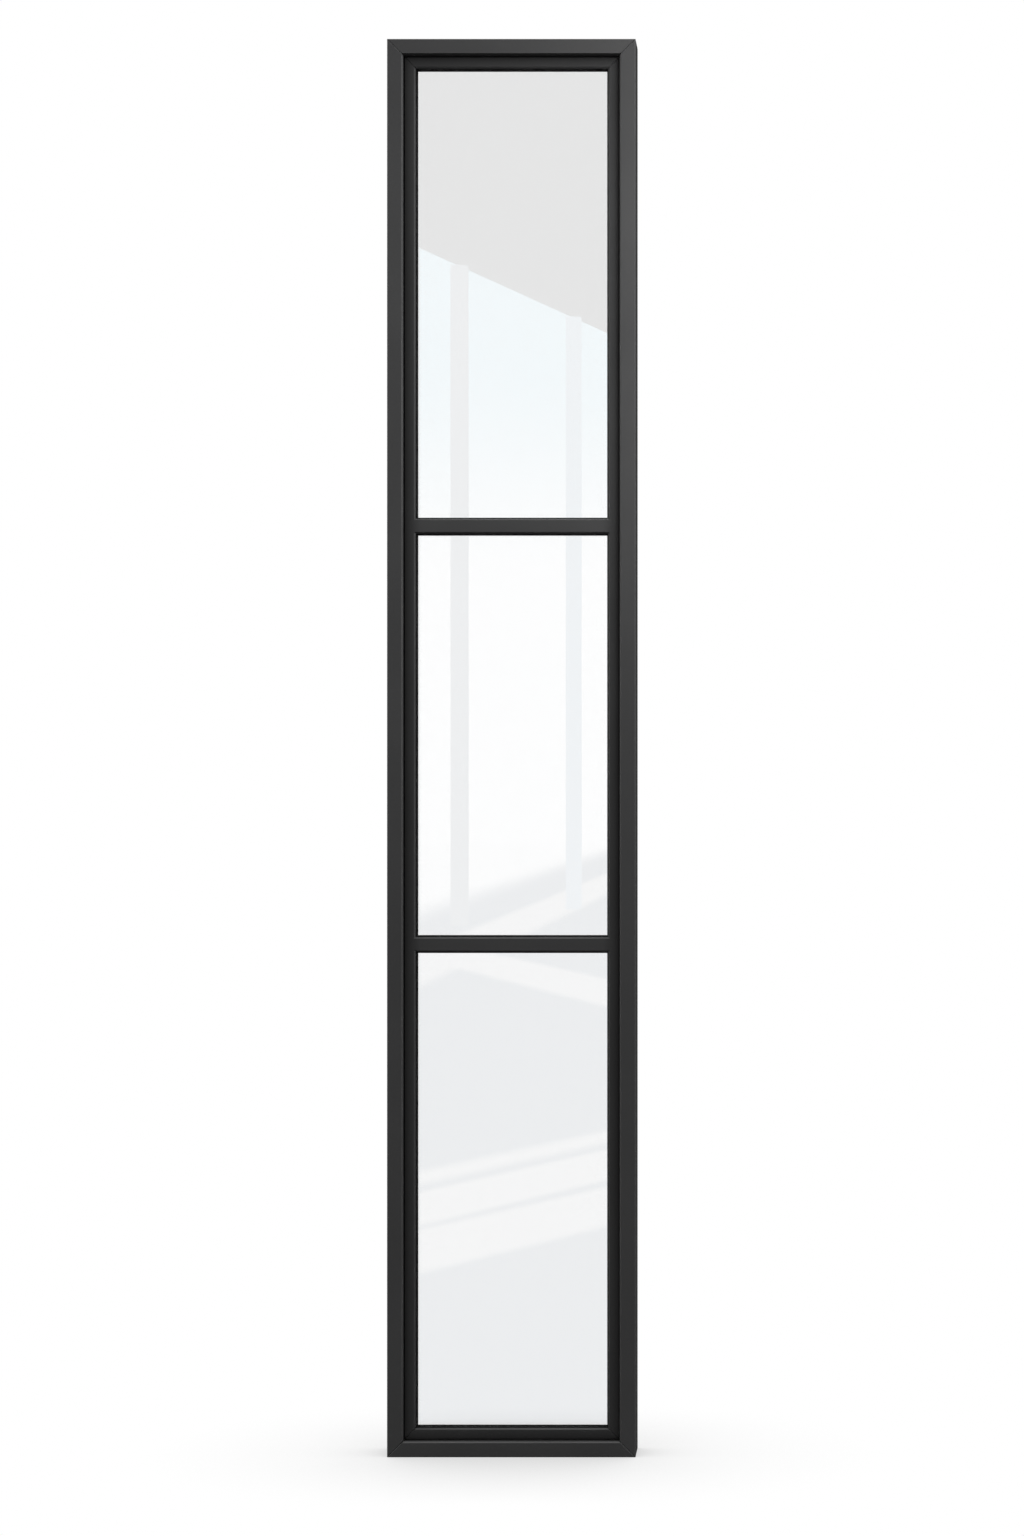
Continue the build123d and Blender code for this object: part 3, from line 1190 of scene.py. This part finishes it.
@dataclass
class Canopy:
    """A dark canopy with a slanting edge and two posts, far in front, which only reflections show."""

    height: float = 2.8
    edge_near: tuple[float, float] = (-0.895, -7.04)
    edge_far: tuple[float, float] = (-0.364, -9.40)
    near_y: float = -3.2
    far_y: float = -20.0
    right_x: float = 9.0
    shade: Colour = (0.03, 0.03, 0.03)
    post_size: float = 0.06
    post_foot: float = 0.42
    posts: tuple[tuple[float, float, Colour], ...] = (
        (-0.795, -7.48, (0.52, 0.58, 0.64)),
        (-0.472, -8.9, (0.64, 0.80, 0.93)),
    )

    def material(self, name: str, shade: Colour) -> bpy.types.Material:
        """A shade that only mirrored rays see.

        Args:
            name: The material's name.
            shade: Its colour.

        Returns:
            The material.
        """
        material, sheet, _, surface = new_material(name)
        clear = sheet.add("ShaderNodeBsdfTransparent")
        glow = sheet.add("ShaderNodeEmission", {"Color": (*shade, 1.0), "Strength": 1.0})
        both = sheet.blend(reflected_ray(sheet), clear, glow)
        sheet.tree.links.new(both.outputs[0], surface)
        return material

    def place(self, name: str, work: bmesh.types.BMesh, shade: Colour) -> None:
        """Put a mesh on the stage, out of the camera's and the lamps' way.

        Args:
            name: Its name.
            work: Its mesh, which is freed.
            shade: Its colour.
        """
        mesh = bpy.data.meshes.new(name)
        work.to_mesh(mesh)
        work.free()
        mesh.materials.append(self.material(name, shade))
        card = bpy.data.objects.new(name, mesh)
        card.visible_camera = False
        card.visible_diffuse = False
        card.visible_shadow = False
        bpy.context.scene.collection.objects.link(card)
        LOG.info("card %s", name)

    def edge_x(self, y: float) -> float:
        """Where the slanting edge lies at a distance in front."""
        near_x, near_y = self.edge_near
        far_x, far_y = self.edge_far
        return near_x + (far_x - near_x) * (y - near_y) / (far_y - near_y)

    def build(self) -> None:
        """Make the canopy and its posts."""
        work = bmesh.new()
        corners = (
            (self.edge_x(self.near_y), self.near_y),
            (self.edge_x(self.far_y), self.far_y),
            (self.right_x, self.far_y),
            (self.right_x, self.near_y),
        )
        work.faces.new([work.verts.new((x, y, self.height)) for x, y in corners])
        self.place("canopy", work, self.shade)
        long = self.height - self.post_foot
        for number, (x, y, shade) in enumerate(self.posts):
            work = bmesh.new()
            bmesh.ops.create_cube(work, size=1.0)
            bmesh.ops.scale(work, vec=(self.post_size, self.post_size, long), verts=work.verts[:])
            bmesh.ops.translate(work, vec=(x, y, self.post_foot + long / 2), verts=work.verts[:])
            self.place(f"canopy_post_{number + 1}", work, shade)


@dataclass
class Studio:
    """The camera, lamps, surroundings and floor."""

    camera: Camera = field(default_factory=Camera)
    surroundings: Surroundings = field(default_factory=Surroundings)
    floor: Floor = field(default_factory=Floor)
    canopy: Canopy = field(default_factory=Canopy)
    lamps: tuple[SoftLamp, ...] = (
        SoftLamp("key", (0.48, -0.635, 1.8), (0.3, 0.0, 1.8), wide=0.4, high=1.0, power=8.3),
        SoftLamp("back", (-0.6, 1.6, 1.8), (0.0, 0.0, 1.4), wide=0.8, high=0.8, power=8.0),
    )

    def build(self) -> None:
        """Set everything up."""
        bpy.context.scene.view_settings.view_transform = "Standard"
        self.camera.build()
        self.surroundings.build()
        self.floor.build()
        self.canopy.build()
        for lamp in self.lamps:
            lamp.build()


def main() -> None:
    """Dress the sidelight and set up its studio."""
    logging.basicConfig(level=logging.INFO)
    effects = Effects.make()
    clear = {
        "lower": Opening(half_width=0.138, bottom=0.040, top=0.723),
        "middle": Opening(half_width=0.138, bottom=0.745, top=1.324),
        "upper": Opening(half_width=0.138, bottom=1.346, top=1.992),
    }
    bead_clear = {
        "lower": Opening(half_width=0.144, bottom=0.034, top=0.724),
        "middle": Opening(half_width=0.144, bottom=0.744, top=1.325),
        "upper": Opening(half_width=0.144, bottom=1.345, top=1.998),
    }
    outer_frame = MetalMembers(
        ["frame_left_jamb", "frame_right_jamb"],
        ["frame_head", "frame_sill"],
        PowderCoat("frame_coat_upright"),
        PowderCoat("frame_coat_level", offset=(3.7, 1.3, 2.9)),
    )
    sash = MetalMembers(
        ["sash_left_stile", "sash_right_stile"],
        ["sash_top_rail", "sash_bottom_rail", "lower_bar", "upper_bar"],
        PowderCoat(
            "sash_coat_upright",
            face_depth=SASH_SETBACK,
            under=0.6,
            seam=0.3,
            arris_depth=0.0005,
            offset=(5.1, 2.2, 0.4),
        ),
        PowderCoat(
            "sash_coat_level",
            # A shade darker than the stiles: painted shade that tones down the key lamp's light on
            # the rails and bars
            colour=(0.040, 0.040, 0.0405),
            face_depth=SASH_SETBACK,
            under=0.6,
            seam=0.3,
            arris_depth=0.0005,
            offset=(1.9, 4.6, 3.3),
        ),
    )
    beads = MetalMembers(
        [f"bead_{bay}_{side}" for bay in clear for side in ("left", "right")],
        [f"bead_{bay}_{side}" for bay in clear for side in ("top", "bottom")],
        PowderCoat(
            "bead_coat_upright",
            face_depth=SASH_SETBACK,
            beside=0.4,
            under=0.4,
            offset=(2.4, 6.0, 1.1),
        ),
        PowderCoat(
            "bead_coat_level",
            face_depth=SASH_SETBACK,
            beside=0.4,
            under=0.4,
            offset=(6.6, 0.8, 5.2),
        ),
    )
    units = GlassUnits(
        clear,
        bead_clear,
        FloatGlass("clear_glass"),
        BlackRubber("gasket_rubber"),
        SpacerStrip("spacer_strip"),
        BlackRubber("block_rubber", colour=(0.03, 0.03, 0.03)),
    )
    for assembly in (outer_frame, sash, beads, units):
        assembly.dress(effects)
    Studio().build()


if __name__ == "__main__":
    main()
